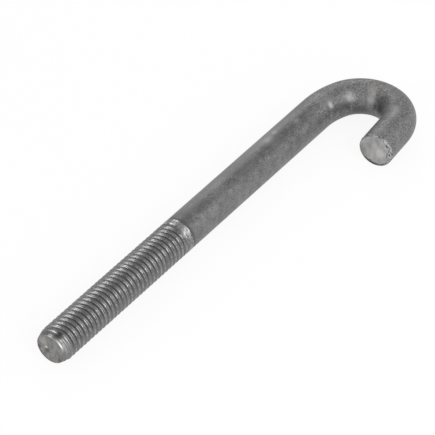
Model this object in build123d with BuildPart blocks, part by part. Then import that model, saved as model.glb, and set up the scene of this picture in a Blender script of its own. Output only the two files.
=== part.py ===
from build123d import *
import os

# A 1/2-13 anchor bolt bent from one round steel bar, lying on its side.
# Origin at the centre of the threaded end's face, shank along +X, hook bent towards -Y, +Z up.
# The threaded length is a plain cylinder of the thread's major diameter.

# threaded end
major_diameter = 12.7
point_face_diameter = 10.8      # flat left by the long chamfer, about the thread's root diameter
point_length = 3.1
thread_end = 65.6               # end face to where the thread has run out
ring_length = 2.2               # smooth ring burnished by the die beyond the thread
shoulder_length = 1.0           # slope from the ring down to the bare bar

# bent bar, along its centre line
bar_diameter = 12.6
straight_length = 147.8         # end face to the start of the bend
lead_in_radius = 26.6           # the bar curves gently before it meets the bending pin
lead_in_angle = 25.4
hook_radius = 13.4              # wrapped tight round the pin
hook_angle = 149.5
leg_length = 13.4
cut_edge_break = 0.3            # worn edge of the cut hook end

major_radius = major_diameter / 2
bar_radius = bar_diameter / 2
ring_end = thread_end + ring_length
bar_start = ring_end + shoulder_length

with BuildPart() as j_bolt:
    # bare bar: straight shank, gentle lead-in, tight hook and short straight leg
    with BuildLine() as centre_line:
        shank = Line((bar_start, 0), (straight_length, 0))
        lead_in = JernArc(shank @ 1, shank % 1, lead_in_radius, -lead_in_angle)
        hook = JernArc(lead_in @ 1, lead_in % 1, hook_radius, -hook_angle)
        leg = Line(hook @ 1, hook @ 1 + leg_length * (hook % 1))
    with BuildSketch(Plane.YZ.offset(bar_start)):
        Circle(bar_radius)
    sweep()
    cut_face = j_bolt.faces().filter_by(GeomType.PLANE).sort_by(Axis.Y)[0]
    chamfer(cut_face.edges(), cut_edge_break)

    # threaded end: point, full diameter, smooth ring and shoulder, turned about the shank's axis
    with BuildSketch(Plane.XY):
        with BuildLine():
            Polyline(
                (0, 0),
                (0, point_face_diameter / 2),
                (point_length, major_radius),
                (ring_end, major_radius),
                (bar_start, bar_radius),
                (bar_start, 0),
                close=True,
            )
        make_face()
    revolve(axis=Axis.X)

j_bolt.part.label = "j_bolt"

os.makedirs("parts", exist_ok=True)
export_step(j_bolt.part, "parts/j_bolt.step")
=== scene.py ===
import math
import bpy
from mathutils import Matrix, Vector, noise


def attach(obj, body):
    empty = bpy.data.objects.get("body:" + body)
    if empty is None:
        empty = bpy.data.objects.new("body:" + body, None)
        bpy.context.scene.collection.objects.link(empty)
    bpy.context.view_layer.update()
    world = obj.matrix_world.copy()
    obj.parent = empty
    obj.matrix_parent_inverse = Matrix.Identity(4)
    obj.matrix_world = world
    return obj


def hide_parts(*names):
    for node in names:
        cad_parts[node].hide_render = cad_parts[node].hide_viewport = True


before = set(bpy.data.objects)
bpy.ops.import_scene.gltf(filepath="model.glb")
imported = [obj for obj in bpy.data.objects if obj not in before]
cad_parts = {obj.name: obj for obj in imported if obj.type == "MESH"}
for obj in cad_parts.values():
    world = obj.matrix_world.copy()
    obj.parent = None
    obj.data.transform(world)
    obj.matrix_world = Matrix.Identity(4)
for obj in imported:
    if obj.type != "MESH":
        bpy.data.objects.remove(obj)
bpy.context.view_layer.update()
print("frame loaded")

millimetre = 0.001      # sizes below are in millimetres and angles in degrees; the mesh is made in metres


class Wire:
    # an output socket; maths on it adds Math nodes to its tree, and node() adds any other node
    def __init__(self, tree, socket=None):
        self.tree = tree
        self.socket = socket

    def node(self, kind, settings=None, inputs=None, output=0):
        made = self.tree.nodes.new(kind)
        for name, value in (settings or {}).items():
            setattr(made, name, value)
        for name, value in (inputs or {}).items():
            if isinstance(value, Wire):
                self.tree.links.new(value.socket, made.inputs[name])
            else:
                made.inputs[name].default_value = value
        return Wire(self.tree, made.outputs[output] if made.outputs else None)

    def maths(self, operation, first, second):
        return self.node("ShaderNodeMath", {"operation": operation}, {0: first, 1: second})

    def __add__(self, other):
        return self.maths("ADD", self, other)

    def __radd__(self, other):
        return self.maths("ADD", other, self)

    def __sub__(self, other):
        return self.maths("SUBTRACT", self, other)

    def __rsub__(self, other):
        return self.maths("SUBTRACT", other, self)

    def __mul__(self, other):
        return self.maths("MULTIPLY", self, other)

    def __rmul__(self, other):
        return self.maths("MULTIPLY", other, self)


def newMaterial(name):
    material = bpy.data.materials.new(name)
    material.use_nodes = True
    material.node_tree.nodes.clear()
    return material, Wire(material.node_tree)


def barPlace(start):
    # millimetres along and across the bar as it was before it was bent
    return start.node("ShaderNodeAttribute", {"attribute_name": "barPlace"}, output="Vector")


def stretched(place, scale):
    return place.node("ShaderNodeVectorMath", {"operation": "MULTIPLY"}, {0: place, 1: scale})


def speckle(place, size, detail=2.0, roughness=0.5, distortion=0.0):
    # noise whose blotches are about size millimetres across
    inputs = {"Vector": place, "Scale": 1 / size, "Detail": detail,
              "Roughness": roughness, "Distortion": distortion}
    return place.node("ShaderNodeTexNoise", None, inputs)


def between(value, low, high):
    # 0 below low, 1 above high, smooth in between; where low is the larger, 1 below and 0 above
    inputs = {"Value": value, "From Min": low, "From Max": high}
    return value.node("ShaderNodeMapRange", {"interpolation_type": "SMOOTHSTEP"}, inputs)


def blend(mask, first, second):
    return mask.node("ShaderNodeMix", {"data_type": "RGBA"}, {0: mask, 6: first, 7: second}, output=2)


def swing(value, amount):
    # noise moved to lie about 0, so that an edge wanders both ways
    return (value - 0.5) * amount


def alongBar(place):
    return place.node("ShaderNodeSeparateXYZ", None, {0: place}, output="X")


def farFrom(place, middle, reach):
    # 0 in the middle of a mark, 1 at its edge
    away = place.node("ShaderNodeVectorMath", {"operation": "SUBTRACT"}, {0: place, 1: middle})
    away = stretched(away, [1 / size for size in reach])
    return away.node("ShaderNodeVectorMath", {"operation": "LENGTH"}, {0: away}, output="Value")


def grey(level, warmth=0.0):
    # a grey, written as linear light; warmth leans it from blue to yellow
    return (level * (1 + warmth), level, level * (1 - warmth), 1)


def bumped(start, height, depth):
    inputs = {"Height": height, "Distance": depth * millimetre, "Strength": 1.0}
    return start.node("ShaderNodeBump", None, inputs, output="Normal")


def closeMaterial(start, color, roughness, metallic, normal):
    inputs = {"Base Color": color, "Roughness": roughness, "Metallic": metallic, "Normal": normal}
    shader = start.node("ShaderNodeBsdfPrincipled", None, inputs)
    start.node("ShaderNodeOutputMaterial", None, {"Surface": shader})


# the bent bar
bar = {
    "diameter": 12.6,
    "straight": 147.8,          # threaded end's face to the start of the bend
    "leadInRadius": 26.6,
    "leadInTurn": 25.4,
    "hookRadius": 13.4,
    "hookTurn": 149.5,
    "leg": 13.4,
    "rowSpacing": 1.15,
    "columns": 120,
    "unevenness": 0.02,         # how far the drawn bar is out of round
    "waveLength": 9,            # bar to one unit of that unevenness's noise
    "waveTurn": 1.1,            # how far out in the noise a turn round the bar runs
    "waveDrop": 0.6,            # keeps nearly all of it inside the bar's full diameter
    # flats left by the bending tools: place along and around, half length, half width, depth
    "toolMarks": [
        (150.4, 138, 2.6, 2.2, 0.10),
        (160.8, 137, 4.5, 2.4, 0.12),
        (173.4, 122, 3.0, 2.6, 0.08),
    ],
}

# stretches of the centre line: length, and the turn towards the hook over it
stretches = [
    (bar["straight"], 0),
    (bar["leadInRadius"] * math.radians(bar["leadInTurn"]), math.radians(bar["leadInTurn"])),
    (bar["hookRadius"] * math.radians(bar["hookTurn"]), math.radians(bar["hookTurn"])),
    (bar["leg"], 0),
]
barLength = sum(length for length, turn in stretches)


def barFrame(along):
    # where the centre line is after this much of it, X along it and Z up
    place = Matrix.Identity(4)
    for index, (length, turn) in enumerate(stretches):
        last = index == len(stretches) - 1
        step = along if last else min(along, length)
        if turn:
            radius = length / turn
            angle = step / radius
            ahead = (radius * math.sin(angle), radius * (math.cos(angle) - 1), 0)
            place = place @ Matrix.Translation(ahead) @ Matrix.Rotation(-angle, 4, "Z")
        else:
            place = place @ Matrix.Translation((step, 0, 0))
        along -= step
    return place


def noiseSpot(along, around, reach):
    # a place in the noise that comes back to itself after one turn round the bar
    return Vector((along, math.cos(around) * reach, math.sin(around) * reach))


def hump(around, middle, halfWidth):
    # 1 at one angle round the bar, fading to 0 on both sides of it
    aside = math.remainder(around - math.radians(middle), 2 * math.pi)
    return math.exp(-(aside / math.radians(halfWidth)) ** 2)


def toolDent(along, around):
    dent = 0.0
    for markAlong, markAround, halfLength, halfWidth, depth in bar["toolMarks"]:
        turn = math.remainder(around - math.radians(markAround), 2 * math.pi)
        far = math.hypot((along - markAlong) / halfLength, turn * bar["diameter"] / 2 / halfWidth)
        dent += depth * max(0.0, 1 - far * far)
    return dent


def barRadius(along, around):
    spot = noiseSpot(along / bar["waveLength"], around, bar["waveTurn"])
    wave = noise.noise(spot) - bar["waveDrop"]
    return bar["diameter"] / 2 + bar["unevenness"] * wave - toolDent(along, around)


# the threaded end, from its end face to the bare bar
thread = {
    "diameter": 12.7,
    "pitch": 25.4 / 13,         # 13 threads to the inch
    "grooveAtTop": -0.13,       # first groove's centre, on the top of the bar
    "rootFlat": 0.26,           # shares of the pitch
    "crestFlat": 0.22,
    "runOutFrom": 62.6,         # the groove climbs out beyond this, over so many turns
    "runOutTurns": 2.0,
    "startsAt": -4.5,           # the groove would sink in from here, ahead of the end face
    "fullFrom": 1.2,            # and is at its full depth from here
    "rootRound": 0.2,
    "crestRound": 0.12,
    "pointFace": 10.8,          # diameter of the point's cone at the end face
    "pointLength": 3.1,
    "pointRound": 0.08,
    "rimRound": 0.24,
    "rimWorn": 0.7,             # how much more it is rounded at one worn spot
    "wornAt": 92,
    "wornReach": 11,
    "coneUneven": 2.5,          # how uneven the cone is against the thread
    "coneUnevenFrom": 1,        # less so nearer the end face than this
    "rowsStart": 0.3,           # rows of mesh follow the groove between these
    "rowsEnd": 66.9,
    "rowGap": 0.04,             # least distance from them to the nearest row
    "ringEnd": 67.8,
    "ringEdge": 0.3,
    "ringDrop": 0.01,
    "barStart": 68.8,
    "shoulderRows": (0.25, 0.5, 0.8),
    "wear": 0.05,               # depth taken off the crests
    "wearPace": 0.9,            # how fast wear changes along the bar, and round it
    "wearTurn": 5,
    "wearLift": 0.1,            # more of this, more of the crests worn
    "unevenness": 0.025,        # of the root and the flanks
    "unevenScale": 0.7,         # against the wear's own scale
    "unevenShift": (40, 0, 0),
    "unevenDrop": 0.5,
    # rows of mesh across one pitch, as shares of it from the groove's centre
    "rows": (
        0, 0.07, 0.13, 0.22, 0.31, 0.355, 0.385, 0.415, 0.46,
        0.54, 0.585, 0.615, 0.645, 0.69, 0.78, 0.87, 0.93,
    ),
}
flankSlope = math.sqrt(3)       # of a 60 degree thread
grooveDepth = (1 - thread["crestFlat"] - thread["rootFlat"]) / 2 * thread["pitch"] * flankSlope


def softMin(first, second, width):
    # the smaller of two, with the corner between them rounded
    overlap = max(width - abs(first - second), 0) / width
    return min(first, second) - overlap * overlap * width / 4


def shareOfTurn(around):
    # counted from the top of the bar
    return (around - math.pi / 2) / (2 * math.pi)


def threadRadius(along, around):
    pitch = thread["pitch"]
    outer = thread["diameter"] / 2
    turns = (along - thread["grooveAtTop"]) / pitch - shareOfTurn(around)
    groove = round(turns)
    aside = abs(turns - groove) * pitch
    flank = (aside - thread["rootFlat"] / 2 * pitch) * flankSlope
    height = -softMin(-flank, 0, thread["rootRound"])
    lastTurn = (thread["runOutFrom"] - thread["grooveAtTop"]) / pitch
    lift = max(0.0, (groove + shareOfTurn(around) - lastTurn) / thread["runOutTurns"])
    begun = (along - thread["startsAt"]) / (thread["fullFrom"] - thread["startsAt"])
    lift += 1 - math.sin(min(max(begun, 0), 1) * math.pi / 2)
    spot = noiseSpot(along * thread["wearPace"], around, thread["wearTurn"])
    wear = thread["wear"] * max(0.0, noise.noise(spot) + thread["wearLift"])
    spot = spot * thread["unevenScale"] + Vector(thread["unevenShift"])
    uneven = thread["unevenness"] * (noise.noise(spot) - thread["unevenDrop"])
    floor = outer - grooveDepth * (1 - lift)
    radius = softMin(outer - wear, floor + height + uneven, thread["crestRound"])
    cone = thread["pointFace"] / 2 + (outer - thread["pointFace"] / 2) * along / thread["pointLength"]
    cone += thread["coneUneven"] * uneven * min(along / thread["coneUnevenFrom"], 1)
    return softMin(radius, cone, thread["pointRound"])


ends = {
    "faceRings": (0.12, 0.25, 0.38, 0.5, 0.6, 0.7, 0.78, 0.86, 0.93),
    "rimAngles": (0, 0.5, 1.0, math.pi / 2),
    # hollows in the end faces: depth, how much of it lies everywhere, the power that carries it out to the
    # rim, where in the noise it is taken and at what scale, and the noise's roughness, spacing and octaves
    "blunt": {
        "relief": 0.16,
        "level": 0.55,
        "power": 6,
        "seed": 7.3,
        "scale": 0.42,
        "lumps": (0.8, 2.1, 4),
    },
    "cut": {
        "relief": 0.12,
        "level": 0.5,
        "power": 8,
        "seed": 1.7,
        "scale": 0.6,
        "lumps": (0.7, 2.2, 5),
    },
    "cutRound": 0.45,
    "cutRolled": 1.3,           # how much further in the edge is rolled over, on the outer side
    "rolledBack": 0.6,          # and how much further back, as a share of that
    "rolledAt": 2,
    "rolledReach": 38,
    "ragged": 0.5,
    "raggedSeed": 3.1,
    "raggedTurn": 2.2,
}


def hollow(face, reach, share, around):
    # how far one spot of an end face lies below its rim
    spot = noiseSpot(face["seed"], around, reach) * face["scale"]
    lumps = noise.fractal(spot, *face["lumps"])
    return max(0.0, face["relief"] * (face["level"] + lumps) * (1 - share ** face["power"]))


def roundedRim():
    # steps of a quarter circle, from the side of the bar onto its end: share back from the face, share in
    return [(1 - math.sin(angle), 1 - math.cos(angle)) for angle in ends["rimAngles"]]


def pointRim(around):
    # how far the rim of the threaded end is rounded
    return thread["rimRound"] + thread["rimWorn"] * hump(around, thread["wornAt"], thread["wornReach"])


def threadedFace(around):
    # rings of the end face from its centre out, then round onto the side; each row of points has a name,
    # its place along the bar, its distance from the centre line and its place along the flat map's skin
    side = threadRadius(thread["rowsStart"], around)
    worn = pointRim(around)
    rim = side - worn
    for number, share in enumerate(ends["faceRings"] + (1.0,)):
        reach = rim * share
        yield ("face", number), hollow(ends["blunt"], reach, share, around), reach, -worn
    for number, (back, inward) in enumerate(roundedRim()[::-1][1:]):
        along = back * thread["rowsStart"]
        yield ("rim", number), along, side - inward * worn, along - inward * worn


def threadRows(around):
    shares = thread["rows"]
    first = -2 * len(shares)
    last = int((thread["rowsEnd"] / thread["pitch"] + 2) * len(shares))
    for row in range(first, last):
        turn = row // len(shares) + shares[row % len(shares)]
        along = thread["grooveAtTop"] + (turn + shareOfTurn(around)) * thread["pitch"]
        if thread["rowsStart"] + thread["rowGap"] < along < thread["rowsEnd"] - thread["rowGap"]:
            yield row, along, threadRadius(along, around), along


def cutRim(around):
    # how far back from the cut face its edge is rounded, and how far in
    rolled = ends["cutRolled"] * hump(around, ends["rolledAt"], ends["rolledReach"])
    spot = noiseSpot(ends["raggedSeed"], around, ends["raggedTurn"])
    inward = (ends["cutRound"] + rolled) * (1 + ends["ragged"] * noise.noise(spot))
    return ends["cutRound"] + rolled * ends["rolledBack"], inward


def plainRows(around):
    outer = thread["diameter"] / 2
    start = thread["barStart"]
    ringEnd = thread["ringEnd"]
    ringEdge = ringEnd - thread["ringEdge"]
    yield ("ring", 0), thread["rowsEnd"], outer, thread["rowsEnd"]
    yield ("ring", 1), ringEdge, outer, ringEdge
    yield ("ring", 2), ringEnd, outer - thread["ringDrop"], ringEnd
    for number, share in enumerate(thread["shoulderRows"]):
        along = ringEnd + (start - ringEnd) * share
        drop = (1 - math.cos(share * math.pi)) / 2
        yield ("shoulder", number), along, outer + (barRadius(along, around) - outer) * drop, along
    end = barLength - cutRim(around)[0]
    count = round((barLength - start) / bar["rowSpacing"])
    for number in range(count + 1):
        along = start + (end - start) * number / count
        yield ("bar", number), along, barRadius(along, around), along


def hookFace(around):
    side = barRadius(barLength, around)
    furthestBack, furthestIn = cutRim(around)
    for number, (back, inward) in enumerate(roundedRim()[1:]):
        along = barLength - back * furthestBack
        inward *= furthestIn
        yield ("cutRim", number), along, side - inward, along + inward
    for number, share in enumerate(reversed(ends["faceRings"])):
        reach = (side - furthestIn) * share
        yield ("cutFace", number), barLength - hollow(ends["cut"], reach, share, around), reach, barLength


def boltColumn(around):
    yield from threadedFace(around)
    yield from threadRows(around)
    yield from plainRows(around)
    yield from hookFace(around)


# the flat map that finishes can be painted on: the skin in two strips, then the two end faces
flatMap = {
    "name": "OFBake",
    "side": 122,                # millimetres of skin across the map
    "stripHeight": 40,
    "gap": 1,
    "rimRoom": 1,               # for the rim of the point, which lies ahead of the strip's start
    "faceScale": 2.4,           # the end faces are this much larger than the skin
    # middles of the end faces, by finish; the cut one is turned over to show its outside
    "faces": {1: (17, 102, 1), 3: (51, 102, -1)},
}


def flatPlaces(finish, corners, columnOf, places, unrolled):
    # where each corner of one face of the skin lies on the map
    if finish in flatMap["faces"]:
        middleX, middleY, turnedOver = flatMap["faces"][finish]
        for corner in corners:
            along, aside, up = places[corner]
            yield middleX + aside * turnedOver * flatMap["faceScale"], middleY + up * flatMap["faceScale"]
        return
    middle = sum(unrolled[corner] for corner in corners) / len(corners)
    strip = 0 if middle < barLength / 2 else 1
    start = flatMap["gap"] + flatMap["rimRoom"] - strip * barLength / 2
    foot = flatMap["gap"] + strip * (flatMap["stripHeight"] + flatMap["gap"])
    for corner in corners:
        yield start + unrolled[corner], foot + flatMap["stripHeight"] * columnOf[corner] / bar["columns"]


# numbers of the finishes: 0 thread, 1 blunt end, 2 bare bar, 3 cut end; the thread's own rows take 0
finishOf = {
    "face": 1,
    "rim": 0,
    "ring": 0,
    "shoulder": 2,
    "bar": 2,
    "cutRim": 2,
    "cutFace": 3,
    "lastCentre": 3,
}


def boltMesh():
    points = []
    places = []
    unrolled = []
    grooves = []
    columns = []
    columnCount = bar["columns"]

    def addPoint(around, along, reach, skin):
        aside = reach * math.cos(around)
        up = reach * math.sin(around)
        points.append(barFrame(along) @ Vector((0, aside, up)) * millimetre)
        places.append((along, aside, up))
        unrolled.append(skin)
        inside = thread["rowsStart"] < along < thread["rowsEnd"]
        depth = (thread["diameter"] / 2 - reach) / grooveDepth if inside else 0
        grooves.append(min(max(depth, 0), 1))
        return len(points) - 1

    firstCentre = addPoint(0, ends["blunt"]["relief"] / 2, 0, 0)
    lastCentre = addPoint(0, barLength - ends["cut"]["relief"] / 2, 0, barLength)
    for number in range(columnCount):
        around = 2 * math.pi * number / columnCount
        column = {"firstCentre": firstCentre}
        for key, along, reach, skin in boltColumn(around):
            column[key] = addPoint(around, along, reach, skin)
        column["lastCentre"] = lastCentre
        columns.append(column)
    # the first column again, a turn further on: its thread rows there are one pitch lower
    rowsPerPitch = len(thread["rows"])
    again = {}
    for key, point in columns[0].items():
        again[key - rowsPerPitch if isinstance(key, int) else key] = point
    columns.append(again)

    faces = []
    finishes = []
    flat = []
    for number, (left, right) in enumerate(zip(columns, columns[1:])):
        leftKeys = list(left)
        rightKeys = list(right)
        # a face runs from one row that both columns have to the next, and takes in what lies between
        shared = [key for key in leftKeys if key in right]
        for low, high in zip(shared, shared[1:]):
            leftRun = [left[key] for key in leftKeys[leftKeys.index(low):leftKeys.index(high) + 1]]
            rightRun = [right[key] for key in rightKeys[rightKeys.index(low):rightKeys.index(high) + 1]]
            corners = leftRun + rightRun[::-1]
            faces.append(list(dict.fromkeys(corners)))
            kind = high[0] if isinstance(high, tuple) else high
            finishes.append(finishOf.get(kind, 0))
            columnOf = dict.fromkeys(leftRun, number) | dict.fromkeys(rightRun, number + 1)
            for pair in flatPlaces(finishes[-1], faces[-1], columnOf, places, unrolled):
                flat.extend(share / flatMap["side"] for share in pair)
    mesh = bpy.data.meshes.new("jBolt")
    mesh.from_pydata(points, [], faces)
    mesh.attributes.new("barPlace", "FLOAT_VECTOR", "POINT").data.foreach_set(
        "vector", [number for place in places for number in place])
    mesh.attributes.new("grooveDepth", "FLOAT", "POINT").data.foreach_set("value", grooves)
    mesh.uv_layers.new(name=flatMap["name"]).uv.foreach_set("vector", flat)
    mesh.polygons.foreach_set("material_index", finishes)
    mesh.polygons.foreach_set("use_smooth", [True] * len(faces))
    mesh.update()
    return mesh


bolt = bpy.data.objects.new("jBolt", boltMesh())
bpy.context.scene.collection.objects.link(bolt)
print("bolt mesh:", len(bolt.data.polygons), "faces")


# in the finishes, a noise is its size in millimetres, detail, roughness and distortion, a range is the two
# levels between which a mask goes from 0 to 1, and a mark's edge and softness are shares of its size

# worn spots and stains on the side of the bar
sidePatch = {
    "grainRange": (0.36, 0.64),
    "dark": 0.8,                # times the mark's own grey, in the grain's hollows
    "light": 1.15,
    "edge": 1.2,
}


def marked(color, place, marks, ragged, softness, grain, warmth=0.0):
    # each mark: place along and around, half length, half width, grey, how much it covers
    fine = between(grain, *sidePatch["grainRange"])
    edge = sidePatch["edge"]
    for along, around, halfLength, halfWidth, level, share in marks:
        turn = math.radians(around)
        reach = bar["diameter"] / 2
        middle = (along, reach * math.cos(turn), reach * math.sin(turn))
        far = farFrom(place, middle, (halfLength, halfWidth, halfWidth))
        dark = grey(level * sidePatch["dark"], warmth)
        light = grey(level * sidePatch["light"], warmth)
        mask = between(far + ragged, edge, edge - softness) * share
        color = blend(mask, color, blend(fine, dark, light))
    return color


bareSteel = {
    "dark": grey(0.105),
    "light": grey(0.245),
    "toneRange": (0.05, 0.95),
    "patches": (9, 4, 0.55, 0.6),
    "patchRange": (0.35, 0.65),
    "patchShare": 0.15,
    "clouds": (2.2, 5, 0.6),
    "cloudRange": (0.3, 0.7),
    "cloudShare": 0.25,
    "streaks": (0.7, 3, 0.6),
    "streakStretch": (0.06, 1, 1),
    "streakShare": 0.15,
    "grain": (0.42, 2, 0.7),
    "grainRange": (0.36, 0.64),
    "grainShare": 0.3,
    "lift": 0.05,               # tone added all over
    # bending has cracked the scale, over this length before the bend starts and all through it
    "crackedBefore": 10,
    "crackedGrain": 0.45,       # more grain there
    "crackedDrop": 0.2,         # and a darker tone
    "flakes": (0.85, 4, 0.75),
    "flakedPatches": (0.4, 0.6),
    "flakedLeast": 0.4,
    "flakedMore": 0.7,
    "legRange": (183, 191),     # fewer flakes on the leg
    "legFade": 0.65,
    "crack": grey(0.06),
    "crackRange": (0.5, 0.62),
    "crackShare": 0.65,
    "flake": grey(0.32),
    "flakeRange": (0.5, 0.38),
    "flakeShare": 0.4,
    # painted shadow: a dark line on the shoulder's small step beside the thread's ring
    "step": grey(0.05),
    "stepShadowRange": (69.4, 68.2),
    "stepShadowRagged": 1,
    "stepShadowShare": 0.6,
    # bright metal on the sheared edge, with dark specks in it
    "edgeDark": grey(0.06),
    "edgeLight": grey(0.5),
    "edgeSpecks": (0.45, 0.56),
    "edgeRange": (barLength - 1.8, barLength - 0.3),
    "edgeRagged": 3,
    "edgeShare": 0.8,
    "roughness": 0.42,
    "cloudRoughness": 0.16,
    "metallic": 0.6,
    "relief": 0.07,
    "patchRelief": 2,           # these two against the clouds
    "grainRelief": 0.5,
    # dark scale along the top
    "cloudRagged": 2.0,
    "grainRagged": 2.5,
    "scaleSoftness": 0.4,
    "scale": [
        (76, 100, 9, 3.0, 0.08, 0.5),
        (104, 106, 11, 3.8, 0.095, 0.45),
        (121, 110, 13, 3.5, 0.095, 0.45),
        (134, 108, 10, 3.0, 0.095, 0.4),
        (187, 94, 1.6, 1.2, 0.08, 0.6),
    ],
    # yellowish marks inside the bend: the dark ones are painted shade on the inner side of the bend, the
    # pale ones pale stains
    "stainRagged": 1.4,
    "stainSoftness": 1.0,
    "stainWarmth": 0.03,
    "stainsAndShade": [
        # painted shade on the inner side of the bend
        (157, 165, 6, 3.0, 0.06, 0.5),
        (166, 196, 8, 3.0, 0.05, 0.6),
        (182, 152, 6.0, 4.4, 0.045, 0.75),
        (169, 150, 1.2, 3.0, 0.28, 0.5),
        (172.9, 120, 3.2, 2.4, 0.36, 0.7),
        (173.5, 150, 3.2, 3.8, 0.38, 0.7),
    ],
    # where the tools have rubbed the scale off; the two brightest, on the flats at the bend, are partly
    # painted highlights
    "rubbedSoftness": 1.0,
    "rubbedAndHighlights": [
        (90, 64, 24, 2.8, 0.28, 0.4),
        (122, 64, 20, 2.8, 0.29, 0.5),
        (119.5, 86, 3.0, 1.8, 0.34, 0.6),
        (124.5, 78, 1.6, 1.2, 0.32, 0.6),
        (134, 104, 1.4, 1.0, 0.32, 0.6),
        # painted highlights on the flats at the bend's start
        (150.6, 138, 1.4, 1.5, 0.58, 0.7),
        (150, 112, 3.6, 3.0, 0.27, 0.5),
        (160.8, 138, 3.2, 2.0, 0.38, 0.55),
        (192.5, 92, 4.0, 1.8, 0.26, 0.5),
    ],
}


def barFinish():
    steel = bareSteel
    material, start = newMaterial("bareBarSteel")
    place = barPlace(start)
    along = alongBar(place)
    patches = speckle(place, *steel["patches"])
    clouds = speckle(place, *steel["clouds"])
    grain = speckle(place, *steel["grain"])
    streaks = speckle(stretched(place, steel["streakStretch"]), *steel["streaks"])
    cracked = between(along, bar["straight"] - steel["crackedBefore"], bar["straight"])
    tone = steel["patchShare"] * between(patches, *steel["patchRange"])
    tone = tone + steel["cloudShare"] * between(clouds, *steel["cloudRange"])
    tone = tone + steel["streakShare"] * streaks
    grainShare = steel["grainShare"] + steel["crackedGrain"] * cracked
    tone = tone + grainShare * between(grain, *steel["grainRange"])
    tone = tone + steel["lift"] - steel["crackedDrop"] * cracked
    color = blend(between(tone, *steel["toneRange"]), steel["dark"], steel["light"])

    flakes = speckle(place, *steel["flakes"])
    patchy = steel["flakedLeast"] + steel["flakedMore"] * between(patches, *steel["flakedPatches"])
    flaked = cracked * patchy * (1 - steel["legFade"] * between(along, *steel["legRange"]))
    crack = between(flakes, *steel["crackRange"]) * flaked
    color = blend(crack * steel["crackShare"], color, steel["crack"])
    flake = between(flakes, *steel["flakeRange"]) * flaked
    color = blend(flake * steel["flakeShare"], color, steel["flake"])

    ragged = swing(clouds, steel["cloudRagged"]) + swing(grain, steel["grainRagged"])
    stainRagged = swing(clouds, steel["stainRagged"])
    warmth = steel["stainWarmth"]
    color = marked(color, place, steel["scale"], ragged, steel["scaleSoftness"], grain)
    # paints the shade inside the bend, and the pale stains
    color = marked(color, place, steel["stainsAndShade"], stainRagged, steel["stainSoftness"], grain, warmth)
    # rubbed patches, with painted highlights on the bend's flats
    color = marked(color, place, steel["rubbedAndHighlights"], ragged, steel["rubbedSoftness"], grain)
    # paints the shadow line on the shoulder's step
    step = between(along + swing(grain, steel["stepShadowRagged"]), *steel["stepShadowRange"])
    color = blend(step * steel["stepShadowShare"], color, steel["step"])
    edge = between(along + swing(clouds, steel["edgeRagged"]), *steel["edgeRange"])
    specks = blend(between(grain, *steel["edgeSpecks"]), steel["edgeDark"], steel["edgeLight"])
    color = blend(edge * steel["edgeShare"], color, specks)

    roughness = steel["roughness"] + steel["cloudRoughness"] * clouds
    height = patches * steel["patchRelief"] + clouds + grain * steel["grainRelief"]
    closeMaterial(start, color, roughness, steel["metallic"], bumped(start, height, steel["relief"]))
    return material


threadSteel = {
    "clouds": (2.4, 4, 0.6),
    "grain": (0.35, 3, 0.7),
    "turning": (0.2, 2, 0.6),
    "turningStretch": (1, 0.25, 0.25),
    # ranges of depth in the groove, where 0 is the crest and 1 the root
    "flank": grey(0.2),
    "root": grey(0.22),
    "rootRange": (0.35, 0.95),
    "rootRagged": 0.3,
    "crest": grey(0.32),
    "crestDull": grey(0.17),
    "crestRange": (0.2, 0.05),
    "crestRagged": 0.15,
    "crestWear": (1.1, 2, 0.6),
    "crestWorn": (0.4, 0.6),
    # dark grit here and there
    "grit": grey(0.05),
    "gritNoise": (0.45, 3, 0.6),
    "gritRange": (0.56, 0.66),
    "gritClouds": (0.4, 0.6),
    "gritShare": 0.8,
    # the smooth ring beyond the run-out, with pits in it
    "ring": grey(0.3),
    "ringFrom": 65.6,
    "ringBlur": 0.3,
    "ringRagged": 0.8,
    "ringGrain": (0.42, 0.58),
    "pits": (0.8, 3, 0.7),
    "pitRange": (0.5, 0.6),
    "pitShare": 0.7,
    # the cone of the point
    "cone": grey(0.17),
    "coneTo": 2.3,
    "coneBlur": 0.5,
    "coneShare": 0.7,
    "roughness": 0.17,
    "cloudRoughness": 0.14,
    "grooveRoughness": 0.22,
    "coneRoughness": 0.15,
    "ringRoughness": 0.12,
    "metallic": 1.0,
    "relief": 0.008,
    "grainRelief": 0.6,
    "turningRelief": 0.4,
    # painted highlights on the ring, the rim and the cone, lighter patches on the cone, and painted shade
    # where the first groove starts
    "cloudRagged": 1.2,
    "grainRagged": 0.8,
    "markSoftness": 1.0,
    "marks": [
        # painted highlight on the ring
        (66.9, 134, 1.7, 3.2, 0.55, 0.85),
        (0.2, 138, 0.6, 3.4, 0.6, 0.9),
        (0.3, 93, 0.9, 1.3, 0.95, 1.0),
        (1.5, 130, 0.9, 1.3, 0.6, 0.8),
        (2.3, 92, 0.7, 1.8, 0.5, 0.75),
        (2.4, 134, 1.0, 1.8, 0.36, 0.7),
        (1.7, 154, 1.5, 2.8, 0.34, 0.7),
        # painted shade where the first groove starts
        (2.0, 113, 1.6, 1.7, 0.04, 0.9),
        (1.8, 168, 1.8, 3.6, 0.34, 0.8),
    ],
}


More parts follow.
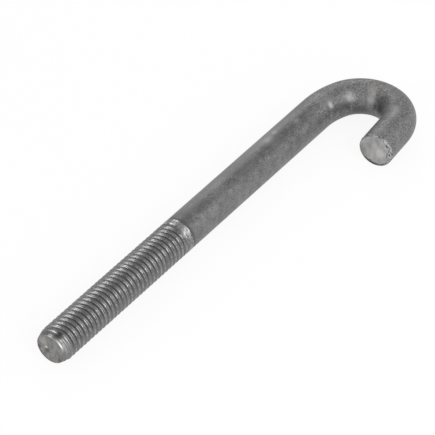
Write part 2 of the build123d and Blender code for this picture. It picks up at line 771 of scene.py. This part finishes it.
def threadFinish():
    steel = threadSteel
    material, start = newMaterial("threadSteel")
    place = barPlace(start)
    along = alongBar(place)
    depth = start.node("ShaderNodeAttribute", {"attribute_name": "grooveDepth"}, output="Fac")
    clouds = speckle(place, *steel["clouds"])
    grain = speckle(place, *steel["grain"])
    turning = speckle(stretched(place, steel["turningStretch"]), *steel["turning"])
    deep = between(depth + swing(clouds, steel["rootRagged"]), *steel["rootRange"])
    color = blend(deep, steel["flank"], steel["root"])
    worn = between(speckle(place, *steel["crestWear"]), *steel["crestWorn"])
    crest = blend(worn, steel["crestDull"], steel["crest"])
    color = blend(between(depth + swing(grain, steel["crestRagged"]), *steel["crestRange"]), color, crest)
    grit = between(speckle(place, *steel["gritNoise"]), *steel["gritRange"])
    grit = grit * between(clouds, *steel["gritClouds"])
    color = blend(grit * steel["gritShare"], color, steel["grit"])

    ringFrom = steel["ringFrom"] - steel["ringBlur"]
    ringTo = steel["ringFrom"] + steel["ringBlur"]
    ring = between(along + swing(grain, steel["ringRagged"]), ringFrom, ringTo)
    color = blend(ring * between(grain, *steel["ringGrain"]), color, steel["ring"])
    cone = between(along, steel["coneTo"], steel["coneTo"] - steel["coneBlur"])
    color = blend(cone * steel["coneShare"], color, steel["cone"])
    ragged = swing(clouds, steel["cloudRagged"]) + swing(grain, steel["grainRagged"])
    # paints the highlights and the shaded groove start listed above
    color = marked(color, place, steel["marks"], ragged, steel["markSoftness"], grain)
    pits = between(speckle(place, *steel["pits"]), *steel["pitRange"])
    color = blend(ring * pits * steel["pitShare"], color, steel["grit"])

    roughness = steel["roughness"] + steel["cloudRoughness"] * clouds + steel["grooveRoughness"] * depth
    roughness = roughness + steel["coneRoughness"] * cone + steel["ringRoughness"] * ring
    height = grain * steel["grainRelief"] + turning * steel["turningRelief"]
    closeMaterial(start, color, roughness, steel["metallic"], bumped(start, height, steel["relief"]))
    return material


# what both end faces share
endSteel = {
    "warmth": 0.015,
    "patchStretch": (1, 1, 0.6),
    "patchShare": 0.7,
    "grain": (0.4, 4, 0.7),
    "grainShare": 0.3,
    "toneRange": (0.3, 0.68),
    "rimShadowRagged": 0.5,
    "rimShadowRange": (1.0, 1.1),
    "rimShadowShare": 0.85,
    "markRagged": 0.8,
    "markRange": (1.2, 0.3),
    "markShare": 0.75,
    "roughness": 0.4,
    "grainRoughness": 0.2,
    "metallic": 0.8,
    "grainRelief": 0.5,
}

bluntEnd = {
    "dark": grey(0.13, endSteel["warmth"]),
    "light": grey(0.29, endSteel["warmth"]),
    "patches": (1.8, 4, 0.6, 0.8),
    "relief": 0.1,
    # circle inside which the face is lit: place across and up, radius; past it a crescent of painted shadow
    # darkens the rim
    "lit": (-0.8, 1.0, 5.9),
    "rim": grey(0.05),
    # dark and light spots on the face, the brightest on the blunt face a painted glint: place across and
    # up, radius, grey
    "marks": [
        # a painted glint on a burr
        (1.7, 0.1, 0.6, 0.7),
        (1.2, -1.2, 1.1, 0.09),
        (4.5, -0.8, 1.0, 0.09),
        (-3.4, -3.3, 1.1, 0.1),
        (2.9, 2.1, 1.8, 0.32),
    ],
}

cutEnd = {
    "dark": grey(0.26, endSteel["warmth"]),
    "light": grey(0.41, 0.01),
    "patches": (2.6, 4, 0.6, 0.8),
    "relief": 0.03,
    "lit": (0.5, 1.5, 6.3),
    "rim": grey(0.04),
    "marks": [
        (-5.0, -1.2, 2.0, 0.22),
        (1.8, -0.4, 2.4, 0.5),
        (4.4, 2.6, 0.9, 0.6),
    ],
}


def endFinish(name, face):
    steel = endSteel
    material, start = newMaterial(name)
    place = barPlace(start)
    patches = speckle(stretched(place, steel["patchStretch"]), *face["patches"])
    grain = speckle(place, *steel["grain"])
    tone = between(patches * steel["patchShare"] + grain * steel["grainShare"], *steel["toneRange"])
    color = blend(tone, face["dark"], face["light"])
    flat = stretched(place, (0, 1, 1))
    across, up, radius = face["lit"]
    far = farFrom(flat, (0, across, up), (radius, radius, radius))
    # a painted shadow over the rim beyond the lit circle
    rim = between(far + swing(patches, steel["rimShadowRagged"]), *steel["rimShadowRange"])
    color = blend(rim * steel["rimShadowShare"], color, face["rim"])
    for across, up, radius, level in face["marks"]:
        far = farFrom(flat, (0, across, up), (radius, radius, radius))
        mark = between(far + swing(grain, steel["markRagged"]), *steel["markRange"])
        color = blend(mark * steel["markShare"], color, grey(level, steel["warmth"]))
    roughness = steel["roughness"] + steel["grainRoughness"] * grain
    height = patches + grain * steel["grainRelief"]
    closeMaterial(start, color, roughness, steel["metallic"], bumped(start, height, face["relief"]))
    return material


for finish in (
    threadFinish(),
    endFinish("bluntEndSteel", bluntEnd),
    barFinish(),
    endFinish("cutEndSteel", cutEnd),
):
    bolt.data.materials.append(finish)
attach(bolt, "root")
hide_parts("j_bolt")
print("finishes on")


studio = {
    "cameraPlace": (-479.4, -443.2, 577.7),
    "cameraAim": (82.4, -5.3, 0),
    "cameraRoll": -2.88,
    "lens": 227.7,
    "sensor": 36,
    "nearest": 0.01,            # metres, as is the next
    "furthest": 100,
    "middle": (85, -10, 0),     # of the bolt, which the lamps face
    "floorReach": 12000,
    "floorGrey": 0.95,
    "floorGlow": 0.9,           # share of the floor's own white, which thins the shadow
    # the room: pale behind the bolt and round the horizon, darker overhead and on one near side
    "roomDark": 0.64,
    "roomLight": 0.73,
    "backdropSide": (0.61, 0.48, -0.63),
    "backdropRange": (-0.2, 0.65),
    "overhead": (0.0, 0.6),
    "darkSide": (-1, 0, 0.1),
    "darkRange": (0.6, 0.95),
    # compass direction, elevation, distance, width, height, brightness
    "lamps": {
        "leftBox": (151, 11, 1300, 460, 400, 5.0),
        "nearBox": (-110, 27, 1300, 900, 700, 4.2),
        "rightBox": (-48, 29, 1300, 420, 420, 2.1),
        "farBox": (42, 35, 1300, 500, 450, 3.2),
        "highBox": (-75, 50, 1300, 700, 600, 0.9),
    },
}


def aimed(place, aim, roll=0.0):
    direction = Vector(aim) - Vector(place)
    turn = direction.to_track_quat("-Z", "Y").to_matrix() @ Matrix.Rotation(math.radians(roll), 3, "Z")
    return Matrix.Translation(Vector(place) * millimetre) @ turn.to_4x4()


def addCamera():
    data = bpy.data.cameras.new("camera")
    data.sensor_width = studio["sensor"]
    data.lens = studio["lens"]
    data.clip_start = studio["nearest"]
    data.clip_end = studio["furthest"]
    camera = bpy.data.objects.new("camera", data)
    camera.matrix_world = aimed(studio["cameraPlace"], studio["cameraAim"], studio["cameraRoll"])
    bpy.context.scene.collection.objects.link(camera)
    bpy.context.scene.camera = camera


def addLamps():
    middle = Vector(studio["middle"])
    for name, (compass, elevation, distance, width, height, brightness) in studio["lamps"].items():
        turn = Matrix.Rotation(math.radians(compass), 3, "Z")
        turn = turn @ Matrix.Rotation(math.radians(-elevation), 3, "Y")
        place = middle + turn @ Vector((distance, 0, 0))
        data = bpy.data.lights.new(name, "AREA")
        data.shape = "RECTANGLE"
        data.size = width * millimetre
        data.size_y = height * millimetre
        data.energy = brightness * math.pi * data.size * data.size_y
        lamp = bpy.data.objects.new(name, data)
        lamp.matrix_world = aimed(place, middle)
        lamp.visible_camera = False
        bpy.context.scene.collection.objects.link(lamp)


def addFloor():
    reach = studio["floorReach"] * millimetre
    height = -thread["diameter"] / 2 * millimetre
    corners = [(x * reach, y * reach, height) for x, y in ((-1, -1), (1, -1), (1, 1), (-1, 1))]
    mesh = bpy.data.meshes.new("floor")
    mesh.from_pydata(corners, [], [(0, 1, 2, 3)])
    floor = bpy.data.objects.new("floor", mesh)
    bpy.context.scene.collection.objects.link(floor)
    material, start = newMaterial("paleFloor")
    paint = start.node("ShaderNodeBsdfDiffuse", None, {"Color": grey(studio["floorGrey"])})
    glow = start.node("ShaderNodeEmission", None, {"Color": grey(1.0), "Strength": 1.0})
    seen = start.node("ShaderNodeLightPath", output="Is Camera Ray")
    mirrored = start.node("ShaderNodeLightPath", output="Is Glossy Ray")
    seenThrough = start.node("ShaderNodeLightPath", output="Is Transmission Ray")
    share = (seen + mirrored + seenThrough) * studio["floorGlow"]
    mixed = start.node("ShaderNodeMixShader", None, {0: share, 1: paint, 2: glow})
    start.node("ShaderNodeOutputMaterial", None, {"Surface": mixed})
    mesh.materials.append(material)


def addWorld():
    world = bpy.data.worlds.new("studioRoom")
    world.use_nodes = True
    world.node_tree.nodes.clear()
    bpy.context.scene.world = world
    start = Wire(world.node_tree)
    direction = start.node("ShaderNodeTexCoord", output="Generated")
    inputs = {0: direction, 1: studio["backdropSide"]}
    facing = start.node("ShaderNodeVectorMath", {"operation": "DOT_PRODUCT"}, inputs, output="Value")
    upward = direction.node("ShaderNodeSeparateXYZ", None, {0: direction}, output="Z")
    pale = 1 - (1 - between(facing, *studio["backdropRange"])) * between(upward, *studio["overhead"])
    inputs = {0: direction, 1: studio["darkSide"]}
    near = start.node("ShaderNodeVectorMath", {"operation": "DOT_PRODUCT"}, inputs, output="Value")
    pale = pale * (1 - between(near, *studio["darkRange"]))
    room = blend(pale, grey(studio["roomDark"]), grey(studio["roomLight"]))
    light = start.node("ShaderNodeBackground", None, {"Color": room, "Strength": 1.0})
    start.node("ShaderNodeOutputWorld", None, {"Surface": light})


addCamera()
addLamps()
addFloor()
addWorld()
bpy.context.scene.view_settings.view_transform = "Standard"
print("studio set")
